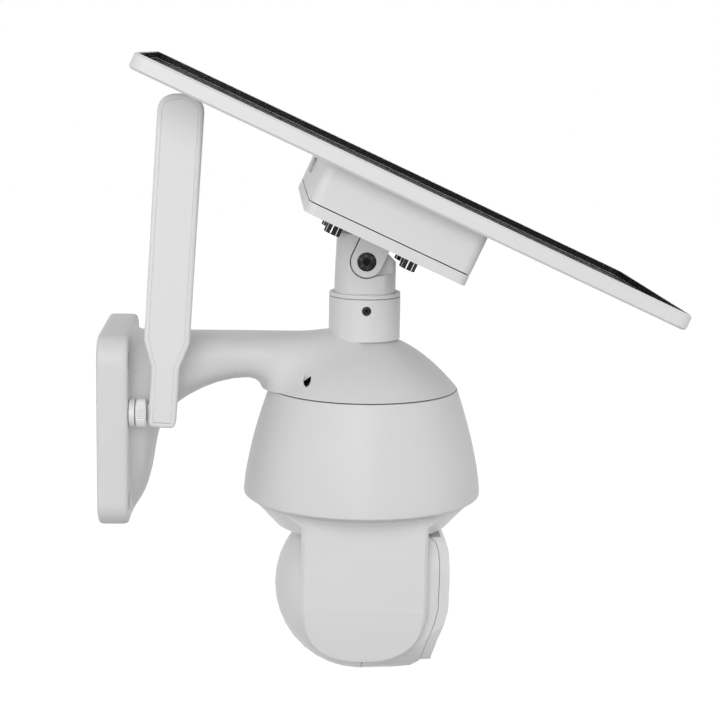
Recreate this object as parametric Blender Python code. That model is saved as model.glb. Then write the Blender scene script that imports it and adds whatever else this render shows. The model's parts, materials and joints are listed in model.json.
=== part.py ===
"""Solar powered pan and tilt camera on a wall arm.

Metres, +Z up. The wall is the plane X = 0, the arm reaches along +X and the part is even about Y = 0,
apart from the antenna. Heights named *_Z below the wall bracket section are taken from the housing seam.
"""

import math

import bmesh
import bpy

MM = 0.001

# Fits and facets
GAP = 0.3 * MM
RUN = 0.8 * MM
ROUND = 36
MEDIUM = 16
SMALL = 10

# Wall plate and arm
PLATE_WIDTH = 108 * MM
PLATE_HEIGHT = 112 * MM
PLATE_THICK = 18 * MM
PLATE_CORNER = 16 * MM
PLATE_EDGE = 2 * MM
BOSS_WIDTH = 70 * MM
BOSS_HEIGHT = 107 * MM
BOSS_RISE = 12 * MM
HOLE_SPAN_Y = 89 * MM
HOLE_SPAN_Z = 82 * MM
HOLE_DIAMETER = 6.5 * MM
HOLE_HEAD_DIAMETER = 11 * MM
HOLE_HEAD_DEPTH = 4 * MM
ARM_REACH = 155 * MM
SEAM_HEIGHT = 18.8 * MM
ARM_THICK = 27 * MM
ARM_HALF_WIDTH = 22 * MM
ARM_ROOT_DROP = 33 * MM
ARM_ROOT_SPREAD = 11 * MM

# Cap, collar and bell housing
SEAM_RADIUS = 56.3 * MM
SEAM_GAP = 1.4 * MM
CAP_RISE = 33 * MM
SHELL = 2.6 * MM
COLLAR_RADIUS = 21.3 * MM
COLLAR_TOP_Z = 55 * MM
COLLAR_FLOOR_Z = 36 * MM
COLLAR_RING = 2.4 * MM
CAP_SCREW_RADIUS = 2.6 * MM
CAP_SCREW_ORBIT = 46.5 * MM
CAP_SCREW_ANGLE = 138
SET_SCREW_Z = 48.5 * MM
SET_SCREW_RADIUS = 2.5 * MM
BELL_RADIUS = 71.3 * MM
BELL_HEIGHT = 64 * MM
BELL_CURVE = 1.5
BELL_LIP = 3 * MM
BELL_LIP_RADIUS = 67 * MM
BELL_MOUTH_RADIUS = 66.2 * MM
BASE_THICK = 3 * MM
BASE_DEPTH = 60.2 * MM

# Hinge post, bracket and panel tilt
POST_RADIUS = 18.3 * MM
POST_HALF_DEPTH = 15.5 * MM
WEB_HALF_DEPTH = 9.5 * MM
PIVOT_Z = 76.9 * MM
PANEL_TILT = 24.5
PANEL_TILT_TRAVEL = 20
EAR_RADIUS = 9.3 * MM
PIVOT_HEAD_RADIUS = 5.4 * MM
PIVOT_HEAD_DEPTH = 4.2 * MM
PIVOT_SHANK_RADIUS = 3 * MM
BRACKET_FACE = 12.3 * MM
BRACKET_THICK = 3.7 * MM
BRACKET_LENGTH = 64 * MM
BRACKET_WIDTH = 56 * MM
SCREW_SPAN_LENGTH = 48.6 * MM
SCREW_SPAN_WIDTH = 39 * MM
SCREW_HEAD_RADIUS = 5 * MM
SCREW_HEAD_HEIGHT = 5.6 * MM
SCREW_SHANK_RADIUS = 2.5 * MM
SCREW_SHANK_LENGTH = 9 * MM

# Battery box and solar panel
BOX_LENGTH = 98 * MM
BOX_WIDTH = 172 * MM
BOX_CORNER = 6 * MM
BOX_WALL = 2.5 * MM
COVER_HEIGHT = 6.1 * MM
COVER_FLOOR = 3 * MM
BOX_SEAM = 0.6 * MM
BOX_HEIGHT = 23.1 * MM
CELL_RADIUS = 9.2 * MM
CELL_LENGTH = 65 * MM
CELL_PITCH = 19.2 * MM
CELL_ROWS = 3
BOARD_THICK = 1.6 * MM
CHARGE_BOARD_LENGTH = 26 * MM
CHARGE_BOARD_WIDTH = 90 * MM
BUTTON_HEIGHT = 9 * MM
BUTTON_WIDTH = 16 * MM
BUTTON_OFFSET = 28 * MM
BUTTON_PROUD = 1.6 * MM
PANEL_LENGTH = 334 * MM
PANEL_WIDTH = 206 * MM
PANEL_THICK = 9.2 * MM
PANEL_CORNER = 9 * MM
PANEL_EDGE = 1.2 * MM
FRAME_LIP = 2 * MM
FRAME_FLOOR = 2.6 * MM
LAMINATE_THICK = 2.2 * MM

# Antenna
ANTENNA_OFFSET = 44 * MM
ANTENNA_HEIGHT = 10.7 * MM
ANTENNA_LEAN = 3.5
JACK_FLANGE = 3.6 * MM
NUT_LENGTH = 6.4 * MM
NUT_RADIUS = 8.2 * MM
JACK_RADIUS = 3.1 * MM
KNUCKLE_RADIUS = 8 * MM
KNUCKLE_HALF_WIDTH = 2.6 * MM
PIN_RADIUS = 1.6 * MM
BLADE_HALF_DEPTH = 5.6 * MM
BLADE_HALF_WIDTH = 13 * MM
BLADE_REACH = 182 * MM
NECK_HALF_WIDTH = 8 * MM
NECK_REACH = 27 * MM
BLADE_SHOULDER = 42 * MM
FORK_DEPTH = 12 * MM
BLADE_EDGE = 2.5 * MM

# Turntable, yoke and ball head
HEAD_Z = -121.7 * MM
HEAD_RADIUS = 52 * MM
HEAD_WALL = 2.2 * MM
HEAD_HALF_WIDTH = 37.7 * MM
TURNTABLE_RADIUS = 65.4 * MM
TURNTABLE_TOP_Z = -61 * MM
CONE_TOP_Z = -68 * MM
CONE_FOOT_Z = -82 * MM
CONE_FOOT_RADIUS = 52.5 * MM
HUB_RADIUS = 12 * MM
HUB_TOP_Z = -31 * MM
YOKE_HALF_WIDTH = 37.2 * MM
YOKE_REACH = 36.7 * MM
YOKE_DIP = 4 * MM
YOKE_THICK = 7.9 * MM
YOKE_EDGE = 2 * MM
TRUNNION_RADIUS = 7 * MM
TRUNNION_LENGTH = 11 * MM
BUSHING_WALL = 2.6 * MM
FACE_REACH = 51.2 * MM
FACE_HALF_WIDTH = 38.5 * MM
BEZEL_THICK = 6 * MM
WINDOW_RADIUS = 17 * MM
WINDOW_THICK = 2.5 * MM
WINDOW_LEDGE = 1 * MM
WINDOW_DEPTH = 1.6 * MM
WINDOW_LIFT = 7.5 * MM
LENS_RADIUS = 8 * MM
LENS_RISE = 2.5 * MM
BARREL_WALL = 2.4 * MM
BARREL_LENGTH = 22 * MM
LAMP_RADIUS = 2 * MM
LAMP_ORBIT = 13.7 * MM
LAMP_COUNT = 4
MOTION_LENS_RADIUS = 7 * MM
MOTION_LENS_RISE = 3 * MM
MOTION_LENS_DROP = 25 * MM

# Drive trains
MODULE = 1.5 * MM
TOOTH_SHARE = 0.34
PAN_GEAR_TEETH = 36
PINION_TEETH = 12
TILT_GEAR_TEETH = 20
GEAR_THICK = 4 * MM
MESH_CLEARANCE = 0.25 * MM
BEARING_RADIUS = 19.7 * MM
BEARING_HEIGHT = 5 * MM
MOTOR_RADIUS = 14 * MM
MOTOR_HEIGHT = 18.5 * MM
TILT_MOTOR_RADIUS = 8 * MM
TILT_MOTOR_LENGTH = 22 * MM
SHAFT_RADIUS = 2 * MM
PINION_LENGTH = 6 * MM
MAIN_BOARD_Z = -14 * MM
SPEAKER_RADIUS = 14 * MM
SPEAKER_HEIGHT = 8 * MM


def clear_scene():
    for old in list(bpy.data.objects):
        bpy.data.objects.remove(old, do_unlink=True)


def material(name, colour, roughness, metallic=0.0):
    made = bpy.data.materials.new(name)
    made.use_nodes = True
    shader = made.node_tree.nodes["Principled BSDF"]
    shader.inputs["Base Color"].default_value = (*colour, 1.0)
    shader.inputs["Roughness"].default_value = roughness
    shader.inputs["Metallic"].default_value = metallic
    return made


def frame(name, parent=None, at=(0, 0, 0), turn_y=0.0):
    """An empty on a joint axis or at the middle of an assembly."""
    empty = bpy.data.objects.new(name, None)
    empty.location = at
    empty.rotation_euler = (0, math.radians(turn_y), 0)
    empty.parent = parent
    bpy.context.scene.collection.objects.link(empty)
    return empty


def solid(name, bm, finish, parent):
    """Closes a bmesh into a named, smooth shaded object."""
    bmesh.ops.recalc_face_normals(bm, faces=bm.faces)
    mesh = bpy.data.meshes.new(name)
    bm.to_mesh(mesh)
    bm.free()
    mesh.materials.append(finish)
    mesh.shade_smooth()
    mesh.set_sharp_from_angle(angle=math.radians(35))
    made = bpy.data.objects.new(name, mesh)
    made.parent = parent
    bpy.context.scene.collection.objects.link(made)
    return made


def loft(name, loops, finish, parent):
    """Skins loops of equally many points and closes both ends."""
    bm = bmesh.new()
    rings = [[bm.verts.new(point) for point in loop] for loop in loops]
    count = len(rings[0])
    for low, high in zip(rings, rings[1:]):
        for i in range(count):
            j = (i + 1) % count
            bm.faces.new((low[i], low[j], high[j], high[i]))
    bm.faces.new(list(reversed(rings[0])))
    bm.faces.new(rings[-1])
    return solid(name, bm, finish, parent)


def on_axis(axis, along, a, b):
    """A point from its place along an axis and its two cross coordinates."""
    return {"X": (along, a, b), "Y": (a, along, b), "Z": (a, b, along)}[axis]


def slab(name, outline, axis, low, high, finish, parent, edge=0.0):
    """Extrudes an outline along an axis, with both outer edges broken by edge where it is given."""
    if not edge:
        loops = [[on_axis(axis, h, a, b) for a, b in outline] for h in (low, high)]
        return loft(name, loops, finish, parent)
    inner = inset(outline, edge)
    steps = ((low, inner), (low + edge, outline), (high - edge, outline), (high, inner))
    loops = [[on_axis(axis, h, a, b) for a, b in shape] for h, shape in steps]
    return loft(name, loops, finish, parent)


def turned(name, profile, axis, finish, parent, steps=ROUND, at=(0, 0, 0)):
    """Revolves a closed profile of (radius, along) points about an axis through at."""
    bm = bmesh.new()
    rings = []
    for radius, along in profile:
        if radius < 1e-7:
            rings.append([bm.verts.new(on_axis(axis, along, 0, 0))])
            continue
        turns = (2 * math.pi * i / steps for i in range(steps))
        points = (on_axis(axis, along, radius * math.cos(t), radius * math.sin(t)) for t in turns)
        rings.append([bm.verts.new(point) for point in points])
    for low, high in zip(rings, rings[1:] + rings[:1]):
        if len(low) == 1 and len(high) == 1:
            continue
        for i in range(steps):
            j = (i + 1) % steps
            corners = [low[i % len(low)], low[j % len(low)], high[j % len(high)], high[i % len(high)]]
            bm.faces.new(list(dict.fromkeys(corners)))
    bmesh.ops.translate(bm, vec=at, verts=bm.verts)
    return solid(name, bm, finish, parent)


def rod(name, radius, axis, low, high, finish, parent, steps=SMALL, at=(0, 0, 0)):
    profile = [(0, low), (radius, low), (radius, high), (0, high)]
    return turned(name, profile, axis, finish, parent, steps, at)


def tube(name, inner, outer, axis, low, high, finish, parent, steps=MEDIUM, at=(0, 0, 0)):
    profile = [(inner, low), (outer, low), (outer, high), (inner, high)]
    return turned(name, profile, axis, finish, parent, steps, at)


def boolean(target, other, operation):
    """Joins, cuts or keeps by another object, which then serves as a hidden guide."""
    other.hide_render = True
    other.display_type = "WIRE"
    step = target.modifiers.new(operation.lower(), "BOOLEAN")
    step.object = other
    step.operation = operation
    step.solver = "EXACT"


def join(target, other):
    boolean(target, other, "UNION")


def cut(target, other):
    boolean(target, other, "DIFFERENCE")


def keep(target, other):
    boolean(target, other, "INTERSECT")


def arc(radius, start, end, steps, centre=(0, 0)):
    """Points of a circular arc between two angles in degrees."""
    turns = (math.radians(start + (end - start) * i / steps) for i in range(steps + 1))
    return [(centre[0] + radius * math.cos(t), centre[1] + radius * math.sin(t)) for t in turns]


def rounded_rect(half_a, half_b, radius, steps=5, centre=(0, 0)):
    points = []
    for quarter, (sign_a, sign_b) in enumerate(((1, 1), (-1, 1), (-1, -1), (1, -1))):
        corner = (centre[0] + sign_a * (half_a - radius), centre[1] + sign_b * (half_b - radius))
        points += arc(radius, 90 * quarter, 90 * quarter + 90, steps, corner)
    return points


def superellipse(half_a, half_b, power, steps, centre=(0, 0)):
    points = []
    for i in range(steps):
        turn = 2 * math.pi * i / steps
        a = math.copysign(abs(math.cos(turn)) ** (2 / power), math.cos(turn))
        b = math.copysign(abs(math.sin(turn)) ** (2 / power), math.sin(turn))
        points.append((centre[0] + half_a * a, centre[1] + half_b * b))
    return points


def inset(outline, distance):
    """Moves each point of a convex anticlockwise outline inwards along its corner's bisector."""
    moved = []
    for i, (a, b) in enumerate(outline):
        before = outline[i - 1]
        after = outline[(i + 1) % len(outline)]
        normals = []
        for (a0, b0), (a1, b1) in ((before, (a, b)), ((a, b), after)):
            length = math.hypot(a1 - a0, b1 - b0)
            normals.append((-(b1 - b0) / length, (a1 - a0) / length))
        mid = (normals[0][0] + normals[1][0], normals[0][1] + normals[1][1])
        share = 2 * distance / (mid[0] ** 2 + mid[1] ** 2)
        moved.append((a + mid[0] * share, b + mid[1] * share))
    return moved


def gear_outline(teeth, phase=0.0):
    """A straight sided gear; phase turns it by a share of one tooth."""
    pitch_radius = teeth * MODULE / 2
    root = pitch_radius - 1.1 * MODULE
    tip = pitch_radius + 0.8 * MODULE
    points = []
    for i in range(teeth):
        for radius, share in ((root, -0.8), (tip, -0.4), (tip, 0.4), (root, 0.8)):
            turn = 2 * math.pi * (i + phase + share * TOOTH_SHARE) / teeth
            points.append((radius * math.cos(turn), radius * math.sin(turn)))
    return points


def gear(name, teeth, phase, bore, axis, low, high, finish, parent):
    made = slab(name, gear_outline(teeth, phase), axis, low, high, finish, parent)
    cut(made, rod(name + "_bore", bore, axis, low - RUN, high + RUN, finish, parent, MEDIUM))
    return made


def bell_radius(depth):
    """Outer radius of the bell at a depth under the seam."""
    left = max(0.0, 1 - depth / BELL_HEIGHT)
    return BELL_RADIUS - (BELL_RADIUS - SEAM_RADIUS) * left**BELL_CURVE


def cap_height(radius, edge, rise):
    return rise * (1 - (radius / edge) ** 2)


clear_scene()

WHITE = material("white_plastic", (0.86, 0.87, 0.87), 0.38)
GREY = material("grey_plastic", (0.30, 0.31, 0.32), 0.5)
BLACK = material("black_plastic", (0.02, 0.02, 0.022), 0.3)
RUBBER = material("seal_rubber", (0.05, 0.05, 0.05), 0.85)
STEEL = material("steel", (0.55, 0.56, 0.57), 0.35, 1.0)
BLACK_STEEL = material("black_steel", (0.02, 0.02, 0.02), 0.3, 0.9)
BRASS = material("brass", (0.72, 0.55, 0.25), 0.3, 1.0)
GLASS = material("glass", (0.10, 0.11, 0.12), 0.06)
CELLS = material("solar_cells", (0.015, 0.018, 0.03), 0.25)
BOARD = material("circuit_board", (0.02, 0.16, 0.07), 0.5)
WRAP = material("cell_wrap", (0.05, 0.25, 0.45), 0.45)
NYLON = material("nylon", (0.78, 0.76, 0.68), 0.5)

ROOT = frame("wall_frame")
BELL = frame("bell_frame", ROOT, (ARM_REACH, 0, SEAM_HEIGHT))
POST = frame("panel_pan_axis", BELL)
PANEL = frame("panel_tilt_axis", POST, (0, 0, PIVOT_Z), PANEL_TILT)
PAN = frame("camera_pan_axis", BELL)
HEAD = frame("camera_tilt_axis", PAN, (0, 0, HEAD_Z))
ANTENNA = frame("antenna_swivel_axis", ROOT, (PLATE_THICK, -ANTENNA_OFFSET, ANTENNA_HEIGHT))


# Wall plate, boss, arm, cap and collar in one moulding
def arm_loops():
    """Sections of the arm from inside the boss to under the collar."""
    top = SEAM_HEIGHT + CAP_RISE
    start = PLATE_THICK + BOSS_RISE / 2
    neck = ARM_REACH - SEAM_RADIUS - 12 * MM
    seam = ARM_REACH - SEAM_RADIUS
    end = ARM_REACH - COLLAR_RADIUS / 2
    stations = []
    for i in range(8):
        share = i / 7
        drop = ARM_ROOT_DROP * (1 - share) ** 2
        spread = ARM_ROOT_SPREAD * (1 - share) ** 2
        stations.append((start + (neck - start) * share, top - ARM_THICK - drop, ARM_HALF_WIDTH + spread))
    low = SEAM_HEIGHT + SEAM_GAP
    for share in (0.4, 0.75, 1.0):
        fall = share * share * (top - ARM_THICK - low)
        stations.append((neck + (seam - neck) * share, top - ARM_THICK - fall, ARM_HALF_WIDTH))
    stations.append((end, low, ARM_HALF_WIDTH * 0.8))
    loops = []
    for x, bottom, half in stations:
        middle = (top + bottom) / 2
        loops.append([(x, y, z) for y, z in superellipse(half, top - middle, 2.4, 22, (0, middle))])
    return loops


def boss_loops():
    loops = []
    for rise in (-0.25, 0.0, 0.4, 0.75, 0.95):
        share = (1 - max(0.0, rise)) ** 0.25
        x = PLATE_THICK + rise * BOSS_RISE
        outline = superellipse(BOSS_WIDTH / 2 * share, BOSS_HEIGHT / 2 * share, 4, 30)
        loops.append([(x, y, z) for y, z in outline])
    return loops


def cap_profile(edge, rise, foot):
    steps = 6
    curve = [(edge * i / steps, cap_height(edge * i / steps, edge, rise)) for i in range(steps)]
    return [(0, foot)] + [(0, rise)] + curve[1:] + [(edge, SEAM_GAP / 2), (edge, foot)]


def cap_and_collar():
    """Profile of the cap with the collar standing on it."""
    foot = SEAM_GAP / 2
    steps = 5
    radii = [COLLAR_RADIUS + (SEAM_RADIUS - COLLAR_RADIUS) * i / steps for i in range(steps)]
    curve = [(r, cap_height(r, SEAM_RADIUS, CAP_RISE)) for r in radii]
    bore = POST_RADIUS + GAP
    well = [(0, COLLAR_FLOOR_Z), (bore, COLLAR_FLOOR_Z)]
    well += [(bore, COLLAR_TOP_Z), (COLLAR_RADIUS, COLLAR_TOP_Z)]
    return [(0, foot)] + well + curve + [(SEAM_RADIUS, foot)]


def wall_bracket():
    plate = rounded_rect(PLATE_WIDTH / 2, PLATE_HEIGHT / 2, PLATE_CORNER)
    inner = inset(plate, PLATE_EDGE)
    steps = ((0, plate), (PLATE_THICK - PLATE_EDGE, plate), (PLATE_THICK, inner))
    made = loft("wall_bracket", [[(x, y, z) for y, z in shape] for x, shape in steps], WHITE, ROOT)
    join(made, loft("boss_form", boss_loops(), WHITE, ROOT))
    join(made, loft("arm_form", arm_loops(), WHITE, ROOT))
    join(made, turned("cap_form", cap_and_collar(), "Z", WHITE, BELL))
    hollow = cap_profile(SEAM_RADIUS - SHELL, CAP_RISE - SHELL, -SHELL)
    cut(made, turned("cap_hollow", hollow, "Z", WHITE, BELL))
    head_floor = PLATE_THICK - HOLE_HEAD_DEPTH
    for i, (sign_y, sign_z) in enumerate(((-1, -1), (-1, 1), (1, -1), (1, 1))):
        at = (0, sign_y * HOLE_SPAN_Y / 2, sign_z * HOLE_SPAN_Z / 2)
        profile = [
            (0, -RUN),
            (HOLE_DIAMETER / 2, -RUN),
            (HOLE_DIAMETER / 2, head_floor),
            (HOLE_HEAD_DIAMETER / 2, head_floor),
            (HOLE_HEAD_DIAMETER / 2, PLATE_THICK + BOSS_RISE),
            (0, PLATE_THICK + BOSS_RISE),
        ]
        cut(made, turned(f"plate_hole_{i + 1}", profile, "X", WHITE, ROOT, SMALL, at))
    reach = COLLAR_RADIUS + RUN
    hole = SET_SCREW_RADIUS + GAP
    cut(made, rod("set_screw_hole", hole, "Y", -reach, 0, WHITE, BELL, SMALL, (0, 0, SET_SCREW_Z)))
    for side, sign in (("near", -1), ("far", 1)):
        at = cap_screw_place(sign)
        wide = CAP_SCREW_RADIUS + GAP
        low = cap_screw_floor() - SHELL - CAP_SCREW_RADIUS * 2
        cut(made, rod(f"cap_screw_pocket_{side}", wide, "Z", low, CAP_RISE, WHITE, BELL, SMALL, at))


def cap_screw_place(sign):
    turn = math.radians(CAP_SCREW_ANGLE)
    return (CAP_SCREW_ORBIT * math.cos(turn), sign * CAP_SCREW_ORBIT * math.sin(turn), 0)


def cap_screw_floor():
    """Height of a cap screw's head, just under the cap's skin."""
    return cap_height(CAP_SCREW_ORBIT + CAP_SCREW_RADIUS, SEAM_RADIUS, CAP_RISE) - GAP


def cap_fasteners():
    top = cap_screw_floor()
    for side, sign in (("near", -1), ("far", 1)):
        low = top - SHELL - CAP_SCREW_RADIUS
        rod(f"cap_screw_{side}", CAP_SCREW_RADIUS, "Z", low, top, BLACK_STEEL, BELL, SMALL,
            cap_screw_place(sign))
    end = POST_RADIUS + GAP
    depth = COLLAR_RADIUS - GAP
    at = (0, 0, SET_SCREW_Z)
    screw = rod("set_screw", SET_SCREW_RADIUS, "Y", -depth, -end, BLACK_STEEL, BELL, SMALL, at)
    key = SET_SCREW_RADIUS * 0.5
    cut(screw, rod("set_screw_key", key, "Y", -depth - RUN, -depth + key, BLACK_STEEL, BELL, 6, at))


# Bell housing and what it holds
def bell_inner(depth):
    return bell_radius(depth) - SHELL


def bell_housing():
    top = SEAM_GAP / 2
    steps = 7
    depths = [top + (BELL_HEIGHT - top) * i / steps for i in range(steps + 1)]
    ledge = BASE_DEPTH + GAP
    inner = [top, ledge * 0.35, ledge * 0.7, ledge]
    foot = BELL_HEIGHT + BELL_LIP
    profile = [(bell_radius(d), -d) for d in depths]
    profile += [(BELL_LIP_RADIUS, -foot), (BELL_MOUTH_RADIUS, -foot), (BELL_MOUTH_RADIUS, -ledge)]
    profile += [(bell_inner(d), -d) for d in reversed(inner)]
    turned("bell_housing", profile, "Z", WHITE, BELL)
    half = SEAM_GAP / 2 - GAP
    outer = SEAM_RADIUS - 1.2 * MM
    tube("seam_gasket", SEAM_RADIUS - SHELL, outer, "Z", -half, half, RUBBER, BELL, ROUND)
    tube("collar_ring", POST_RADIUS + GAP, COLLAR_RADIUS, "Z", COLLAR_TOP_Z + GAP,
         COLLAR_TOP_Z + GAP + COLLAR_RING, WHITE, BELL, ROUND)


def bell_inside():
    low = -BASE_DEPTH
    high = low + BASE_THICK
    edge = bell_inner(BASE_DEPTH - BASE_THICK) - GAP
    tube("bell_base", BEARING_RADIUS + GAP, edge, "Z", low, high, GREY, BELL, ROUND)
    floor = TURNTABLE_TOP_Z + GAP
    tube("pan_bearing", HUB_RADIUS + GAP, BEARING_RADIUS, "Z", floor, floor + BEARING_HEIGHT, STEEL, BELL)
    at = (pan_spacing(), 0, 0)
    shoulder = high + GAP + MOTOR_HEIGHT
    end = shoulder + RUN + PINION_LENGTH
    body = [(0, high + GAP), (MOTOR_RADIUS, high + GAP), (MOTOR_RADIUS, shoulder)]
    profile = body + [(SHAFT_RADIUS, shoulder), (SHAFT_RADIUS, end), (0, end)]
    turned("pan_motor", profile, "Z", STEEL, BELL, MEDIUM, at)
    speaker_at = (-pan_spacing(), 0, 0)
    rod("speaker", SPEAKER_RADIUS, "Z", high + GAP, high + GAP + SPEAKER_HEIGHT, BLACK, BELL, MEDIUM,
        speaker_at)
    board_edge = bell_inner(-MAIN_BOARD_Z - BOARD_THICK) - GAP
    rod("main_board", board_edge, "Z", MAIN_BOARD_Z, MAIN_BOARD_Z + BOARD_THICK, BOARD, BELL, ROUND)


def pan_spacing():
    return (PAN_GEAR_TEETH + PINION_TEETH) * MODULE / 2 + MESH_CLEARANCE


def pan_gear_floor():
    return -BASE_DEPTH + BASE_THICK + GAP + MOTOR_HEIGHT + RUN


def pan_drive():
    low = pan_gear_floor()
    made = gear("pan_gear", PAN_GEAR_TEETH, 0.0, HUB_RADIUS + GAP, "Z", low, low + GEAR_THICK, NYLON, PAN)
    foot = TURNTABLE_TOP_Z + GAP + BEARING_HEIGHT + GAP
    sleeve = tube("pan_gear_sleeve", HUB_RADIUS + GAP, HUB_RADIUS * 1.3, "Z", foot, low + RUN, NYLON, PAN)
    join(made, sleeve)
    axle = frame("pan_pinion_axis", BELL, (pan_spacing(), 0, 0))
    gear("pan_pinion", PINION_TEETH, 0.5, SHAFT_RADIUS + GAP, "Z", low, low + PINION_LENGTH - RUN, BRASS,
         axle)


# Hinge post in the collar
def hinge_post():
    foot = COLLAR_FLOOR_Z + GAP
    top = PIVOT_Z + POST_RADIUS + EAR_RADIUS
    made = rod("hinge_post", POST_RADIUS, "Z", foot, top, WHITE, POST, ROUND)
    keep(made, slab("post_outline", post_outline(), "Y", -POST_RADIUS, POST_RADIUS, WHITE, POST))
    flat_foot = COLLAR_TOP_Z + COLLAR_RING + 2 * GAP
    for side, sign in (("near", -1), ("far", 1)):
        wide = 2 * POST_RADIUS
        face = [(-wide, flat_foot), (wide, flat_foot), (wide, top + RUN), (-wide, top + RUN)]
        inner, outer = sorted((sign * POST_HALF_DEPTH, sign * wide))
        cut(made, slab(f"post_flat_{side}", face, "Y", inner, outer, WHITE, POST))
        inner, outer = sorted((sign * WEB_HALF_DEPTH, sign * 2 * POST_RADIUS))
        cut(made, slab(f"post_recess_{side}", recess_outline(), "Y", inner, outer, WHITE, POST))
    bore = PIVOT_SHANK_RADIUS + GAP
    at = (0, 0, PIVOT_Z)
    cut(made, rod("post_bore", bore, "Y", -POST_RADIUS, POST_RADIUS, WHITE, POST, SMALL, at))


def tilted(u, n, tilt):
    """A point given along a tilted panel and square to it, in the post's upright plane."""
    turn = math.radians(tilt)
    return (u * math.cos(turn) + n * math.sin(turn), PIVOT_Z - u * math.sin(turn) + n * math.cos(turn))


def roof_height(x, tilt):
    """Height at x of the face that the bracket shows the post at a tilt, less a running gap."""
    turn = math.radians(tilt)
    return PIVOT_Z + (BRACKET_FACE - RUN - x * math.sin(turn)) / math.cos(turn)


def post_outline():
    left = -POST_RADIUS
    steepest = PANEL_TILT + PANEL_TILT_TRAVEL
    shoulder = PIVOT_Z + 0.9 * POST_RADIUS
    roof = [POST_RADIUS * share for share in (1.05, 0.36, -0.1, -0.45)]
    crown = [(x, min(roof_height(x, PANEL_TILT), roof_height(x, steepest))) for x in roof]
    base = [(left * 1.05, COLLAR_FLOOR_Z), (POST_RADIUS * 1.05, COLLAR_FLOOR_Z)]
    return base + crown + [(left * 0.88, shoulder), (left * 0.93, shoulder - 0.2 * POST_RADIUS)]


def recess_outline():
    """Room for an ear from rest to its steepest, open to the side that the ear swings to."""
    wide = EAR_RADIUS + RUN
    steps = 10
    start = 180 - PANEL_TILT
    end = 300
    left = tilted(-wide, 3 * EAR_RADIUS, PANEL_TILT)
    round_part = [(x, PIVOT_Z + z) for x, z in arc(wide, start, end, steps)]
    right = [(2 * POST_RADIUS, PIVOT_Z - 0.4 * EAR_RADIUS), (2 * POST_RADIUS, left[1])]
    return [left] + round_part + right


# Hinge bracket with its fasteners
def bracket_places():
    """Middle points of the bracket screws along and across the panel."""
    middle = BOX_MIDDLE - MM
    for u in (middle - SCREW_SPAN_LENGTH / 2, middle + SCREW_SPAN_LENGTH / 2):
        for v in (-SCREW_SPAN_WIDTH / 2, SCREW_SPAN_WIDTH / 2):
            yield u, v


BOX_MIDDLE = -1 * MM
COVER_LOW = BRACKET_FACE + BRACKET_THICK + GAP
BOX_LOW = COVER_LOW + COVER_HEIGHT + BOX_SEAM
PANEL_LOW = BOX_LOW + BOX_HEIGHT + GAP


def hinge_bracket():
    plate = rounded_rect(BRACKET_LENGTH / 2, BRACKET_WIDTH / 2, BOX_CORNER, 4, (BOX_MIDDLE - MM, 0))
    high = BRACKET_FACE + BRACKET_THICK
    made = slab("hinge_bracket", plate, "Z", BRACKET_FACE, high, WHITE, PANEL)
    ear = arc(EAR_RADIUS, 180, 360, 14) + [(EAR_RADIUS, high - GAP), (-EAR_RADIUS, high - GAP)]
    for side, sign in (("near", -1), ("far", 1)):
        inner, outer = sorted((sign * (WEB_HALF_DEPTH + GAP), sign * POST_HALF_DEPTH))
        join(made, slab(f"ear_{side}", ear, "Y", inner, outer, WHITE, PANEL))
    bore = PIVOT_SHANK_RADIUS + GAP
    cut(made, rod("ear_bore", bore, "Y", -POST_RADIUS, POST_RADIUS, WHITE, PANEL, SMALL + 1))
    for side, sign in (("near", -1), ("far", 1)):
        inner, outer = sorted((sign * (POST_HALF_DEPTH - PIVOT_HEAD_DEPTH), sign * POST_RADIUS))
        sink = PIVOT_HEAD_RADIUS + GAP
        cut(made, rod(f"ear_sink_{side}", sink, "Y", inner, outer, WHITE, PANEL, MEDIUM + 1))
    for i, (u, v) in enumerate(bracket_places()):
        hole = SCREW_SHANK_RADIUS + GAP
        at = (u, v, 0)
        cut(made, rod(f"bracket_hole_{i + 1}", hole, "Z", 0, PANEL_LOW, WHITE, PANEL, SMALL, at))


def socket_screw(name, head_radius, head_height, radius, length, axis, way, at, parent):
    """A cap screw whose head's seat is at the point given and whose shank runs along way."""
    seat = 0.0
    profile = [
        (0, seat - way * head_height),
        (head_radius * 0.9, seat - way * head_height),
        (head_radius, seat - way * head_height * 0.9),
        (head_radius, seat),
        (radius, seat),
        (radius, seat + way * length),
        (0, seat + way * length),
    ]
    made = turned(name, profile, axis, BLACK_STEEL, parent, MEDIUM, at)
    low, high = sorted((-way * (head_height + RUN), -way * head_height * 0.45))
    cut(made, rod(name + "_key", head_radius * 0.55, axis, low, high, BLACK_STEEL, parent, 6, at))


def hinge_fasteners():
    for i, (u, v) in enumerate(bracket_places()):
        at = (u, v, BRACKET_FACE - GAP)
        socket_screw(f"bracket_screw_{i + 1}", SCREW_HEAD_RADIUS, SCREW_HEAD_HEIGHT, SCREW_SHANK_RADIUS,
                     SCREW_SHANK_LENGTH, "Z", 1, at, PANEL)
    seat = POST_HALF_DEPTH - PIVOT_HEAD_DEPTH + GAP
    length = seat + POST_HALF_DEPTH - GAP
    head = PIVOT_HEAD_DEPTH - GAP
    socket_screw("pivot_bolt", PIVOT_HEAD_RADIUS, head, PIVOT_SHANK_RADIUS, length, "Y", 1, (0, -seat, 0),
                 PANEL)
    made = rod("pivot_nut", PIVOT_HEAD_RADIUS, "Y", seat, POST_HALF_DEPTH, BLACK_STEEL, PANEL, 6)
    cut(made, rod("nut_bore", PIVOT_SHANK_RADIUS + GAP, "Y", 0, POST_RADIUS, BLACK_STEEL, PANEL))


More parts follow.
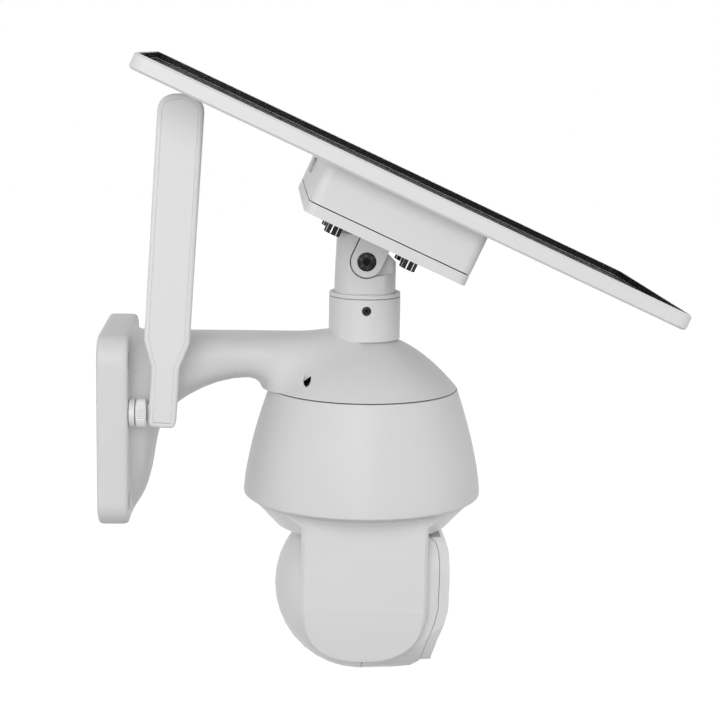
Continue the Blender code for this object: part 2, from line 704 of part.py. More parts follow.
# Battery box under the panel
def box_outline(shrink=0.0):
    half_a = BOX_LENGTH / 2 - shrink
    half_b = BOX_WIDTH / 2 - shrink
    return rounded_rect(half_a, half_b, max(GAP, BOX_CORNER - shrink), 4, (BOX_MIDDLE, 0))


def battery_box():
    cover_top = COVER_LOW + COVER_HEIGHT
    cover = slab("battery_cover", box_outline(), "Z", COVER_LOW, cover_top, WHITE, PANEL)
    pocket_low = COVER_LOW + COVER_FLOOR
    cut(cover, slab("cover_pocket", box_outline(BOX_WALL), "Z", pocket_low, PANEL_LOW, WHITE, PANEL))
    for i, (u, v) in enumerate(bracket_places()):
        at = (u, v, 0)
        top = cover_top - GAP
        join(cover, rod(f"cover_boss_{i + 1}", SCREW_SHANK_RADIUS * 2, "Z", pocket_low - RUN, top, WHITE,
                        PANEL, SMALL, at))
    for i, (u, v) in enumerate(bracket_places()):
        hole = SCREW_SHANK_RADIUS + GAP
        low = COVER_LOW - RUN
        high = BRACKET_FACE + SCREW_SHANK_LENGTH + GAP
        cut(cover, rod(f"cover_hole_{i + 1}", hole, "Z", low, high, WHITE, PANEL, SMALL, (u, v, 0)))
    box_top = BOX_LOW + BOX_HEIGHT
    box = slab("battery_box", box_outline(), "Z", BOX_LOW, box_top, WHITE, PANEL)
    roof = box_top - BOX_WALL
    cut(box, slab("box_pocket", box_outline(BOX_WALL), "Z", COVER_LOW, roof, WHITE, PANEL))
    hole = button_outline(GAP)
    left = BOX_MIDDLE - BOX_LENGTH / 2
    cut(box, slab("button_hole", hole, "X", left - RUN, left + 2 * BOX_WALL, WHITE, PANEL))
    button_parts(left)
    battery_cells(roof)


def button_outline(grow=0.0):
    middle = (BUTTON_OFFSET, BOX_LOW + BOX_HEIGHT * 0.55)
    return rounded_rect(BUTTON_WIDTH / 2 + grow, BUTTON_HEIGHT / 2 + grow, BUTTON_HEIGHT * 0.4, 4, middle)


def button_parts(left):
    slide = frame("power_button_axis", PANEL)
    stem = left + BOX_WALL + 2 * BUTTON_PROUD
    slab("power_button", button_outline(), "X", left - BUTTON_PROUD, stem, GREY, slide)


def battery_cells(roof):
    middle_n = roof - GAP - CELL_RADIUS
    first = BOX_MIDDLE - (CELL_ROWS - 1) / 2 * CELL_PITCH
    count = 0
    for row in range(CELL_ROWS):
        for sign in (-1, 1):
            count += 1
            low, high = sorted((sign * GAP, sign * (CELL_LENGTH + GAP)))
            at = (first + row * CELL_PITCH, 0, middle_n)
            rod(f"battery_cell_{count}", CELL_RADIUS, "Y", low, high, WRAP, PANEL, MEDIUM, at)
    edge = BOX_MIDDLE + BOX_LENGTH / 2 - BOX_WALL - GAP
    centre = (edge - CHARGE_BOARD_LENGTH / 2, 0)
    board = rounded_rect(CHARGE_BOARD_LENGTH / 2, CHARGE_BOARD_WIDTH / 2, BOARD_THICK, 2, centre)
    slab("charge_board", board, "Z", BOX_LOW, BOX_LOW + BOARD_THICK, BOARD, PANEL)


# Solar panel
def solar_panel():
    outer = rounded_rect(PANEL_LENGTH / 2, PANEL_WIDTH / 2, PANEL_CORNER, 5)
    top = PANEL_LOW + PANEL_THICK
    made = slab("panel_frame", outer, "Z", PANEL_LOW, top, WHITE, PANEL, PANEL_EDGE)
    floor = PANEL_LOW + FRAME_FLOOR
    inner = inset(outer, FRAME_LIP)
    cut(made, slab("panel_pocket", inner, "Z", floor, top + RUN, WHITE, PANEL))
    sheet = inset(outer, FRAME_LIP + GAP)
    low = floor + GAP
    slab("solar_laminate", sheet, "Z", low, low + LAMINATE_THICK, CELLS, PANEL)
    slab("panel_glass", sheet, "Z", low + LAMINATE_THICK + GAP, top - GAP, GLASS, PANEL)


# Antenna on its connector
def antenna():
    jack = [
        (0, GAP),
        (NUT_RADIUS, GAP),
        (NUT_RADIUS, JACK_FLANGE),
        (JACK_RADIUS, JACK_FLANGE),
        (JACK_RADIUS, JACK_FLANGE + NUT_LENGTH),
        (0, JACK_FLANGE + NUT_LENGTH),
    ]
    turned("antenna_jack", jack, "X", WHITE, ANTENNA, MEDIUM)
    low = JACK_FLANGE + GAP
    high = low + NUT_LENGTH
    rim = NUT_RADIUS - MM
    inner = JACK_RADIUS + GAP
    nut = [(inner, low), (rim, low), (NUT_RADIUS, low + MM)]
    nut += [(NUT_RADIUS, high - MM), (rim, high), (inner, high)]
    turned("antenna_nut", nut, "X", WHITE, ANTENNA, MEDIUM)
    hinge = high + GAP + KNUCKLE_RADIUS + RUN
    knuckle = arc(KNUCKLE_RADIUS - RUN, -90, 90, 10, (hinge, 0))
    knuckle += [(high + GAP, NUT_RADIUS * 0.6), (high + GAP, -NUT_RADIUS * 0.6)]
    half = KNUCKLE_HALF_WIDTH
    made = slab("antenna_knuckle", knuckle, "Y", -half, half, WHITE, ANTENNA)
    at = (hinge, 0, 0)
    cut(made, rod("knuckle_bore", PIN_RADIUS + GAP, "Y", -NUT_RADIUS, NUT_RADIUS, WHITE, ANTENNA, SMALL,
                  at))
    fold = frame("antenna_fold_axis", ANTENNA, at, ANTENNA_LEAN)
    antenna_blade(fold)


def blade_outline():
    """Paddle seen from the side: square foot, straight neck, shoulders and a round top."""
    top = BLADE_REACH - BLADE_HALF_WIDTH * 0.8
    right = [(NECK_HALF_WIDTH, NECK_REACH), (BLADE_HALF_WIDTH, BLADE_SHOULDER), (BLADE_HALF_WIDTH, top)]
    crown = superellipse(BLADE_HALF_WIDTH, BLADE_REACH - top, 2.4, 24, (0, top))[1:12]
    left = [(-x, z) for x, z in reversed(right)]
    foot = superellipse(NECK_HALF_WIDTH, NECK_HALF_WIDTH, 5, 24)
    return foot[12:] + foot[:1] + right + crown + left


def antenna_blade(fold):
    half = BLADE_HALF_DEPTH
    made = slab("antenna_blade", blade_outline(), "Y", -half, half, WHITE, fold)
    bevel = made.modifiers.new("edge", "BEVEL")
    bevel.width = BLADE_EDGE
    bevel.segments = 2
    bevel.limit_method = "ANGLE"
    bevel.angle_limit = math.radians(60)
    room = KNUCKLE_HALF_WIDTH + GAP
    slot = rounded_rect(2 * NECK_HALF_WIDTH, FORK_DEPTH, GAP, 1)
    cut(made, slab("fork_slot", slot, "Y", -room, room, WHITE, fold))
    cut(made, rod("fork_bore", PIN_RADIUS + GAP, "Y", -2 * half, 2 * half, WHITE, fold))
    rod("antenna_pin", PIN_RADIUS, "Y", -half, half, STEEL, fold)


# Turntable with its yoke
def pan_yoke():
    clear = HEAD_RADIUS + RUN
    rise = CONE_FOOT_Z - HEAD_Z
    mouth = math.sqrt(clear**2 - rise**2)
    start = math.degrees(math.atan2(rise, mouth))
    bowl = [(r, HEAD_Z + z) for r, z in arc(clear, start, 90, 8)]
    bowl[-1] = (0, HEAD_Z + clear)
    profile = [
        (0, HUB_TOP_Z),
        (HUB_RADIUS, HUB_TOP_Z),
        (HUB_RADIUS, TURNTABLE_TOP_Z),
        (TURNTABLE_RADIUS, TURNTABLE_TOP_Z),
        (TURNTABLE_RADIUS, CONE_TOP_Z),
        (CONE_FOOT_RADIUS, CONE_FOOT_Z),
    ]
    made = turned("pan_yoke", profile + bowl, "Z", WHITE, PAN)
    inner = HEAD_HALF_WIDTH + RUN
    root = (TURNTABLE_TOP_Z + CONE_TOP_Z) / 2
    flat = inner + YOKE_THICK - YOKE_EDGE / 2
    for side, sign in (("near", -1), ("far", 1)):
        low, high = sorted((sign * flat, sign * 2 * TURNTABLE_RADIUS))
        wide = 2 * TURNTABLE_RADIUS
        block = [(-wide, 2 * HEAD_Z), (wide, 2 * HEAD_Z), (wide, CONE_TOP_Z), (-wide, CONE_TOP_Z)]
        cut(made, slab(f"cone_flat_{side}", block, "Y", low, high, WHITE, PAN))
    foot = superellipse(YOKE_HALF_WIDTH, YOKE_REACH, 2.4, 48, (0, HEAD_Z))[24:] + [(YOKE_HALF_WIDTH, HEAD_Z)]
    outline = foot + [(YOKE_HALF_WIDTH, root), (-YOKE_HALF_WIDTH, root)]
    small = inset(outline, YOKE_EDGE)
    face = inner + YOKE_THICK
    steps_down = [0.1 + i / 8 for i in range(9)]
    curve = [(face - YOKE_DIP * t * t, HEAD_Z - YOKE_REACH * t) for t in steps_down]
    curve += [(face + YOKE_THICK, curve[-1][1]), (face + YOKE_THICK, curve[0][1])]
    for side, sign in (("near", -1), ("far", 1)):
        steps = ((inner, outline), (inner + YOKE_THICK - YOKE_EDGE, outline), (inner + YOKE_THICK, small))
        loops = [[(x, sign * y, z) for x, z in shape] for y, shape in steps]
        arm = loft(f"yoke_arm_{side}", loops, WHITE, PAN)
        dip = [(sign * y, z) for y, z in curve]
        cut(arm, slab(f"yoke_dip_{side}", dip, "X", -TURNTABLE_RADIUS, TURNTABLE_RADIUS, WHITE, PAN))
        join(made, arm)
        low, high = sorted((sign * (inner - TRUNNION_LENGTH), sign * (inner + RUN)))
        at = (0, 0, HEAD_Z)
        join(made, rod(f"trunnion_{side}", TRUNNION_RADIUS, "Y", low, high, WHITE, PAN, MEDIUM, at))


# Ball head
def face_curve(back=0.0):
    """Front of the head in its upright middle plane, from the brow to the chin, moved back."""
    reach = FACE_REACH - back
    unit = HEAD_RADIUS / 52
    front = [(-5, 36), (-1.8, 33), (-0.5, 28), (0, 19), (-0.5, -6), (-2.8, -15.5), (-6.2, -25), (-9, -36.5)]
    return [(reach + x * unit, z * unit) for x, z in front + [(-9.3, -40.7)]]


def face_at(height):
    """How far the face reaches at a height."""
    curve = face_curve()
    for (x0, z0), (x1, z1) in zip(curve, curve[1:]):
        if z1 <= height <= z0:
            return x0 + (x1 - x0) * (z0 - height) / (z0 - z1)
    return FACE_REACH


def head_outline(back, first, shrink=0.0):
    """The front half of the head, from the seam plane at first to the face moved back."""
    radius = HEAD_RADIUS - shrink
    crown = arc(radius, 90, 44, 6)
    chin = [(HEAD_RADIUS * 0.58, shrink - HEAD_RADIUS * 0.9)]
    chin += [(HEAD_RADIUS * 0.33, shrink - HEAD_RADIUS * 0.965), (first, -radius)]
    return [(first, radius)] + crown[1:] + face_curve(back) + chin


def crown_guard(name, radius, floor):
    """Everything above a height that lies outside a ball, so that the head's top turns under the cone."""
    wide = 2 * HEAD_RADIUS
    block = rounded_rect(wide, wide, HEAD_WALL, 2)
    made = slab(name, block, "Z", floor, wide, WHITE, HEAD)
    ball = [(z, x) for x, z in arc(radius, 180, 0, 18)]
    ball[0] = (0, -radius)
    ball[-1] = (0, radius)
    cut(made, turned(name + "_ball", ball, "Z", WHITE, HEAD))
    return made


def front_form(name, low, high, shrink=0.0):
    """Sides of the head's front: round at the seam plane, narrowing to an upright oval at the face."""
    loops = []
    for x in (low, max(low, 0.0) + GAP, high):
        share = max(0.0, x) / FACE_REACH
        half_width = HEAD_RADIUS - (HEAD_RADIUS - FACE_HALF_WIDTH) * share - shrink
        oval = superellipse(half_width, HEAD_RADIUS - shrink, 2, ROUND)
        loops.append([(x, y, z) for y, z in oval])
    return loft(name, loops, WHITE, HEAD)


def head_prism(name, outline, half_width, parent):
    return slab(name, outline, "Y", -half_width, half_width, WHITE, parent)


def head_shells():
    half = HEAD_HALF_WIDTH
    inside = HEAD_RADIUS - HEAD_WALL
    seam = GAP / 2
    rear = turned("head_rear_shell", half_ball(HEAD_RADIUS, -seam), "X", WHITE, HEAD)
    keep(rear, head_prism("rear_sides", box_of(-2 * HEAD_RADIUS, 0), half, HEAD))
    hollow = turned("rear_hollow", half_ball(inside, seam), "X", WHITE, HEAD)
    keep(hollow, head_prism("rear_hollow_sides", box_of(-2 * HEAD_RADIUS, HEAD_RADIUS), half - HEAD_WALL,
                            HEAD))
    cut(rear, hollow)
    front = front_form("head_front_shell", seam, 1.5 * HEAD_RADIUS)
    keep(front, head_prism("front_outline", head_outline(BEZEL_THICK + GAP, seam), half, HEAD))
    brow = face_curve()[0][1] + RUN / 2
    cut(front, crown_guard("crown_guard", HEAD_RADIUS, brow))
    room = front_form("front_hollow", -seam, 1.6 * HEAD_RADIUS, HEAD_WALL)
    keep(room, head_prism("front_room", head_room(), half - HEAD_WALL, HEAD))
    cut(room, crown_guard("crown_room", inside, brow - HEAD_WALL))
    cut(front, room)
    ring = TRUNNION_RADIUS + BUSHING_WALL + GAP
    for shell, label in ((rear, "rear"), (front, "front")):
        cut(shell, rod(f"trunnion_hole_{label}", ring, "Y", -2 * half, 2 * half, WHITE, HEAD, MEDIUM))
    for side, sign in (("near", -1), ("far", 1)):
        low, high = sorted((sign * (half - HEAD_WALL), sign * half))
        tube(f"tilt_bushing_{side}", TRUNNION_RADIUS + GAP, ring - GAP, "Y", low, high, NYLON, HEAD)


def head_room():
    """Inside of the front shell seen from the side, open at both ends."""
    ahead = 2 * HEAD_WALL
    outline = head_outline(-ahead, -GAP, HEAD_WALL)
    count = len(face_curve())
    start = 1 + 6
    front = outline[start:start + count]
    front[0] = (front[0][0], front[0][1] - HEAD_WALL)
    front[-1] = (front[-1][0], front[-1][1] + HEAD_WALL)
    heel = (face_curve(BEZEL_THICK + GAP)[-1][0] - HEAD_WALL, front[-1][1])
    return outline[:start] + front + [heel] + outline[start + count:]


def half_ball(radius, end):
    """Profile of the rear half of a ball, turned about X, up to a plane."""
    points = arc(radius, 180, 92, 9)
    rim = math.sqrt(radius**2 - end**2)
    profile = [(z, x) for x, z in points]
    profile[0] = (0, -radius)
    return profile + [(rim, end), (0, end)]


def box_of(low_x, high_x):
    tall = 2 * HEAD_RADIUS
    return [(low_x, -tall), (high_x, -tall), (high_x, tall), (low_x, tall)]


def seam_side():
    """A place behind the bezel, still ahead of the seam plane."""
    return FACE_REACH / 4


def bezel_and_window():
    bezel = front_form("front_bezel", seam_side(), 1.5 * HEAD_RADIUS)
    outline = face_curve() + list(reversed(face_curve(BEZEL_THICK)))
    keep(bezel, head_prism("bezel_outline", outline, HEAD_HALF_WIDTH, HEAD))
    centre = (0, 0, WINDOW_LIFT)
    front = FACE_REACH - WINDOW_DEPTH
    back = front - WINDOW_THICK
    ledge = WINDOW_RADIUS - WINDOW_LEDGE
    far = 2 * HEAD_RADIUS
    opening = [
        (0, 0),
        (ledge, 0),
        (ledge, back - GAP),
        (WINDOW_RADIUS + GAP, back - GAP),
        (WINDOW_RADIUS + GAP, far),
        (0, far),
    ]
    cut(bezel, turned("window_opening", opening, "X", WHITE, HEAD, ROUND, centre))
    motion_at = (0, 0, -MOTION_LENS_DROP)
    hole = MOTION_LENS_RADIUS + GAP
    cut(bezel, rod("motion_hole", hole, "X", 0, far, WHITE, HEAD, MEDIUM, motion_at))
    barrel = LENS_RADIUS + BARREL_WALL
    window = tube("front_window", barrel + GAP, WINDOW_RADIUS, "X", back, front, BLACK, HEAD, ROUND, centre)
    for i in range(LAMP_COUNT):
        at = lamp_place(i)
        hole = LAMP_RADIUS + GAP
        cut(window, rod(f"lamp_hole_{i + 1}", hole, "X", 0, far, BLACK, HEAD, SMALL + 2, at))
        dome = dome_profile(LAMP_RADIUS, back - WINDOW_THICK, front, LAMP_RADIUS * 0.3)
        turned(f"lamp_{i + 1}", dome, "X", GLASS, HEAD, SMALL, at)
    optics(front, back, centre, barrel)
    face = face_at(-MOTION_LENS_DROP)
    dome = dome_profile(MOTION_LENS_RADIUS, face - BEZEL_THICK, face, MOTION_LENS_RISE)
    turned("motion_lens", dome, "X", WHITE, HEAD, MEDIUM, motion_at)


def lamp_place(i):
    turn = 2 * math.pi * (i + 0.5) / LAMP_COUNT
    return (0, LAMP_ORBIT * math.cos(turn), LAMP_ORBIT * math.sin(turn) + WINDOW_LIFT)


def dome_profile(radius, low, high, rise):
    """A rod from low to high with a domed end."""
    crown = [(radius * math.cos(t), high + rise * math.sin(t)) for t in (0, 0.4, 0.8, 1.2)]
    return [(0, low), (radius, low)] + crown + [(0, high + rise)]


def optics(front, back, centre, barrel):
    rear = front - BARREL_LENGTH
    glass_seat = front - LENS_RISE
    bore = LENS_RADIUS + GAP
    profile = [
        (0, rear),
        (barrel, rear),
        (barrel, front - GAP),
        (bore, front - GAP),
        (bore, glass_seat - GAP),
        (0, glass_seat - GAP),
    ]
    turned("lens_barrel", profile, "X", BLACK, HEAD, MEDIUM, centre)
    dome = dome_profile(LENS_RADIUS, glass_seat, front - LENS_RISE / 2, LENS_RISE)
    turned("lens_glass", dome, "X", GLASS, HEAD, MEDIUM, centre)
    board_high = back - WINDOW_THICK - GAP
    tube("lamp_board", barrel + GAP, WINDOW_RADIUS - WINDOW_LEDGE - RUN, "X", board_high - BOARD_THICK,
         board_high, BOARD, HEAD, ROUND, centre)
    rod("sensor_board", WINDOW_RADIUS, "X", rear - GAP - BOARD_THICK, rear - GAP, BOARD, HEAD, ROUND,
        centre)


# Tilt drive inside the head
def tilt_spacing():
    return (TILT_GEAR_TEETH + PINION_TEETH) * MODULE / 2 + MESH_CLEARANCE


def tilt_drive():
    inner = HEAD_HALF_WIDTH - HEAD_WALL - GAP
    high = -(inner - GEAR_THICK - GAP)
    still = frame("tilt_gear_axis", PAN, (0, 0, HEAD_Z))
    gear("tilt_gear", TILT_GEAR_TEETH, 0.0, TRUNNION_RADIUS + GAP, "Y", high - GEAR_THICK, high, NYLON,
         still)
    axle = frame("tilt_pinion_axis", HEAD, (0, 0, -tilt_spacing()))
    gear("tilt_pinion", PINION_TEETH, 0.5, SHAFT_RADIUS + GAP, "Y", high - GEAR_THICK, high, BRASS, axle)
    start = high + RUN
    profile = [
        (0, high - GEAR_THICK),
        (SHAFT_RADIUS, high - GEAR_THICK),
        (SHAFT_RADIUS, start),
        (TILT_MOTOR_RADIUS, start),
        (TILT_MOTOR_RADIUS, start + TILT_MOTOR_LENGTH),
        (0, start + TILT_MOTOR_LENGTH),
    ]
    turned("tilt_motor", profile, "Y", STEEL, HEAD, MEDIUM, (0, 0, -tilt_spacing()))


wall_bracket()
cap_fasteners()
bell_housing()
bell_inside()
pan_drive()
hinge_post()
hinge_bracket()
hinge_fasteners()
battery_box()
solar_panel()
antenna()
pan_yoke()
head_shells()
bezel_and_window()
tilt_drive()
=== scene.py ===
"""Looks of the solar powered pan and tilt camera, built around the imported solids."""

import json
import math

import bmesh
import bpy
import numpy as np
import openvdb
from mathutils import Matrix, Vector


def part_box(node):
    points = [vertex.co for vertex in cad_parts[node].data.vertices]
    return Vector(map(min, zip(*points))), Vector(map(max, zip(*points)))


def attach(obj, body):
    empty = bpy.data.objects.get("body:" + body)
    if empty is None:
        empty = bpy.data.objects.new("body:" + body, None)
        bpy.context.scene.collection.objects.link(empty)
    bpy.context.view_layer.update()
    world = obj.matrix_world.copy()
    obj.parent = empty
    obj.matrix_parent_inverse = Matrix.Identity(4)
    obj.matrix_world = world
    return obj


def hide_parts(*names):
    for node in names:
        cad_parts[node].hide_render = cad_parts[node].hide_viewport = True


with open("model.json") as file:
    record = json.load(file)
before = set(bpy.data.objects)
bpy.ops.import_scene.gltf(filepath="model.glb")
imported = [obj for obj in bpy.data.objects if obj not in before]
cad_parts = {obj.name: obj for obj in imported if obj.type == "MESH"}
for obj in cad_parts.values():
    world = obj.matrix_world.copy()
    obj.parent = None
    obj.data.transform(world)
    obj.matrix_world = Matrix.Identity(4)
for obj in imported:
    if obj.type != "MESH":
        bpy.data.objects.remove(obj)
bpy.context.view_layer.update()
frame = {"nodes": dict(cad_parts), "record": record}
NODES = frame["nodes"]
BODY_OF = {n: body for body, names in frame["record"]["behaviour"]["bodies"].items() for n in names}
SLOT_OF = {row["node"]: row["material_slot"] for row in frame["record"]["subparts"]}

# Places that the pieces share, in metres: the bell's axis, the seam under the cap and the panel's pivot
MM = 0.001
REACH = 0.155
SEAM = 0.0188
PIVOT_RISE = 0.0769
TILT = math.radians(24.5)
UP_FROM_PANEL = Vector((math.sin(TILT), 0, math.cos(TILT)))
PANEL = Matrix.Translation((REACH, 0, SEAM + PIVOT_RISE)) @ Matrix.Rotation(TILT, 4, "Y")
BELL = Matrix.Translation((REACH, 0, SEAM))
ALONG = {"Z": Matrix(), "X": Matrix.Rotation(math.pi / 2, 4, "Y"), "Y": Matrix.Rotation(-math.pi / 2, 4, "X")}


# Materials
class Nodes:
    """Short hand for a material's node tree, with places taken from the part's own frame in metres."""

    def __init__(self, name):
        self.material = bpy.data.materials.new(name)
        self.material.use_nodes = True
        self.tree = self.material.node_tree
        self.shader = self.tree.nodes["Principled BSDF"]
        self.place = self.tree.nodes.new("ShaderNodeTexCoord").outputs["Object"]

    def node(self, kind, inputs=(), **settings):
        made = self.tree.nodes.new("ShaderNode" + kind)
        for key, value in settings.items():
            setattr(made, key, value)
        for key, value in dict(inputs).items():
            self.feed(made.inputs[key], value)
        return made

    def feed(self, socket, value):
        if isinstance(value, bpy.types.NodeSocket):
            self.tree.links.new(value, socket)
        else:
            socket.default_value = value

    def set(self, **inputs):
        for key, value in inputs.items():
            self.feed(self.shader.inputs[key.replace("_", " ")], value)

    def noise(self, scale, detail):
        made = self.node("TexNoise", {"Vector": self.place, "Scale": scale, "Detail": detail})
        return made.outputs["Fac"]

    def span(self, value, low, high, start=0.3, end=0.7):
        made = self.node("MapRange", {"Value": value, "From Min": start, "From Max": end, "To Min": low,
                                      "To Max": high})
        return made.outputs["Result"]

    def ramp(self, value, *stops):
        made = self.node("ValToRGB", {"Fac": value})
        steps = made.color_ramp.elements
        while len(steps) < len(stops):
            steps.new(0.5)
        for step, (at, colour) in zip(steps, stops):
            step.position = at
            step.color = (*colour, 1.0)
        return made.outputs["Color"]

    def maths(self, operation, a, b):
        made = self.node("Math", operation=operation)
        self.feed(made.inputs[0], a)
        self.feed(made.inputs[1], b)
        return made.outputs[0]

    def mix(self, share, a, b):
        made = self.node("Mix", data_type="RGBA")
        self.feed(made.inputs["Factor"], share)
        self.feed(made.inputs["A"], a)
        self.feed(made.inputs["B"], b)
        return made.outputs["Result"]

    def bump(self, height, strength, distance):
        made = self.node("Bump", {"Height": height, "Strength": strength, "Distance": distance})
        self.set(Normal=made.outputs["Normal"])

    def worn_and_highlit_edges(self, low=0.5, high=0.56):
        """1 on outer edges, 0 on flats and in hollows: the mask of painted edge highlights, and on metal of
        wear as well.
        """
        return self.span(self.node("NewGeometry").outputs["Pointiness"], 0.0, 1.0, low, high)


def plastic(name, colour, rough, grain=0.12, grain_scale=2600, patch=0.012, gloss=0.5, coat=0.0):
    """Moulded or painted skin: slight tone patches, a painted highlight that lightens the outer edges, uneven
    gloss and, unless grain is 0, a fine grain.
    """
    n = Nodes(name)
    dark = [c * (1 - patch) for c in colour]
    light = [min(1.0, c * (1 + patch)) for c in colour]
    shade = n.ramp(n.noise(38, 4), (0.3, dark), (0.7, light))
    # Outer edges 3 % lighter: a painted highlight along the rounded edges
    edge = [min(1.0, c * 1.03) for c in colour]
    n.set(Base_Color=n.mix(n.worn_and_highlit_edges(), shade, (*edge, 1.0)))
    n.set(Roughness=n.span(n.noise(30, 2), rough - 0.04, rough + 0.04))
    n.set(IOR=1.47, Specular_IOR_Level=gloss)
    n.set(Coat_Weight=coat, Coat_Roughness=0.16)
    if grain:
        n.bump(n.noise(grain_scale, 2), grain, 0.0001)
    return n.material


def metal(name, colour, rough, edge_wear_and_highlight=None):
    """Turned metal with a fine grain and, where an edge colour is given, lighter edges that are partly wear and
    partly a painted highlight.
    """
    n = Nodes(name)
    streak = n.noise(900, 5)
    base = n.ramp(streak, (0.25, [c * 0.82 for c in colour]), (0.75, [min(1, c * 1.12) for c in colour]))
    if edge_wear_and_highlight:
        # Lighter edges: partly worn metal, partly a painted highlight
        base = n.mix(n.worn_and_highlit_edges(0.51, 0.6), base, (*edge_wear_and_highlight, 1.0))
    n.set(Base_Color=base, Metallic=1.0, Roughness=n.span(streak, rough - 0.07, rough + 0.12))
    n.bump(streak, 0.12, 0.00005)
    return n.material


def rubber(name, colour, rough):
    """Matt black seal with a rough fine grain."""
    n = Nodes(name)
    fine = n.noise(1800, 4)
    n.set(Base_Color=n.ramp(fine, (0.3, [c * 0.7 for c in colour]), (0.7, [c * 1.35 for c in colour])))
    n.set(Roughness=n.span(n.noise(220, 3), rough - 0.08, rough + 0.06))
    n.bump(fine, 0.35, 0.0001)
    return n.material


def circuit_board():
    """Solder mask with lighter copper tracks under it and small tinned pads."""
    n = Nodes("board_mask")
    bricks = n.node("TexBrick", {"Vector": n.place, "Scale": 120.0, "Mortar Size": 0.06, "Color1": (0, 0, 0, 1),
                                 "Color2": (0, 0, 0, 1), "Mortar": (1, 1, 1, 1)})
    track = bricks.outputs["Color"]
    pads = n.node("TexVoronoi", {"Vector": n.place, "Scale": 160.0, "Randomness": 0.35}).outputs["Distance"]
    pad = n.span(pads, 1.0, 0.0, 0.16, 0.2)
    mask = n.ramp(n.noise(90, 4), (0.3, (0.012, 0.10, 0.045)), (0.7, (0.02, 0.16, 0.075)))
    tracked = n.mix(track, mask, (0.04, 0.24, 0.10, 1))
    n.set(Base_Color=n.mix(pad, tracked, (0.62, 0.62, 0.58, 1)), Metallic=pad)
    n.set(Roughness=n.span(n.noise(300, 3), 0.34, 0.5))
    n.bump(n.mix(pad, track, (1, 1, 1, 1)), 0.3, 0.0001)
    return n.material


def clear_glass(name, tint, rough, ior=1.45):
    """Glass or clear plastic that lets light through."""
    n = Nodes(name)
    n.set(Base_Color=n.ramp(n.noise(30, 3), (0.3, tint), (0.7, [min(1, c * 1.04) for c in tint])))
    n.set(Roughness=n.span(n.noise(240, 4), rough * 0.7, rough * 1.3), IOR=ior, Transmission_Weight=1.0)
    n.bump(n.noise(1400, 2), 0.03, 0.00005)
    return n.material


def clear_film(name, colour, rough, cover):
    """Clear cover sheet of the panel: mostly see-through, its gloss sits on the cells beneath as a coat."""
    n = Nodes(name)
    n.set(Base_Color=n.ramp(n.noise(12, 2), (0.3, [c * 0.9 for c in colour]), (0.7, colour)), Alpha=cover)
    n.set(Roughness=n.span(n.noise(20, 2), rough * 0.9, rough * 1.1), Specular_IOR_Level=0.0)
    return n.material


def cell_face():
    """Dark blue-black silicon: crystal patches and hair-thin collecting fingers across each cell."""
    n = Nodes("silicon_face")
    fingers = n.node("TexWave", {"Vector": n.place, "Scale": 150.0}, bands_direction="Y").outputs["Fac"]
    line = n.span(fingers, 0.0, 1.0, 0.93, 0.99)
    patch = n.node("TexVoronoi", {"Vector": n.place, "Scale": 70.0}).outputs["Color"]
    tone = n.node("SeparateColor", {"Color": patch}).outputs["Red"]
    base = n.ramp(tone, (0.0, (0.018, 0.021, 0.029)), (1.0, (0.026, 0.031, 0.046)))
    n.set(Base_Color=n.mix(line, base, (0.05, 0.055, 0.068, 1)))
    n.set(Roughness=n.span(n.noise(60, 2), 0.36, 0.44), Specular_IOR_Level=0.0)
    n.set(Coat_Weight=0.3, Coat_Roughness=0.2)
    return n.material


def fresnel_lens():
    """Milky moulded lens of a motion sensor, ridged in small cells."""
    n = Nodes("milky_lens")
    cells = n.node("TexVoronoi", {"Vector": n.place, "Scale": 330.0, "Randomness": 0.0},
                   feature="DISTANCE_TO_EDGE")
    ridge = n.span(cells.outputs["Distance"], 0.0, 1.0, 0.0, 0.3)
    n.set(Base_Color=n.mix(ridge, (0.62, 0.63, 0.63, 1), (0.80, 0.80, 0.79, 1)))
    n.set(Roughness=n.span(n.noise(300, 3), 0.2, 0.32), Subsurface_Weight=0.15, Subsurface_Scale=0.002)
    n.bump(ridge, 0.5, 0.0003)
    return n.material


PAINT = plastic("satin_white_paint", (0.735, 0.735, 0.732), 0.40, 0.03, 900, gloss=0.28)
SHELL = plastic("satin_white_shell", (0.75, 0.75, 0.748), 0.34, 0.02, 900)
FRAME = plastic("white_panel_frame", (0.78, 0.78, 0.78), 0.34, 0, patch=0.008)
BOX = plastic("white_box", (0.755, 0.755, 0.753), 0.40, 0.02, 900, 0.01, 0.25)
PADDLE = plastic("white_paddle", (0.79, 0.79, 0.79), 0.33, 0, patch=0.008)
GREY = plastic("grey_moulding", (0.42, 0.43, 0.44), 0.45, 0.15)
BUTTON = plastic("soft_white_button", (0.66, 0.66, 0.66), 0.5, 0.05, 1200, 0.02)
DARK = plastic("dark_moulding", (0.018, 0.018, 0.02), 0.3, 0.08, 3000, 0.2)
WINDOW = plastic("smoked_window", (0.006, 0.006, 0.007), 0.1, 0.01, 900, 0.3)
SEAL = rubber("seal_rubber_black", (0.035, 0.035, 0.035), 0.7)
STEEL = metal("turned_steel", (0.55, 0.56, 0.57), 0.32)
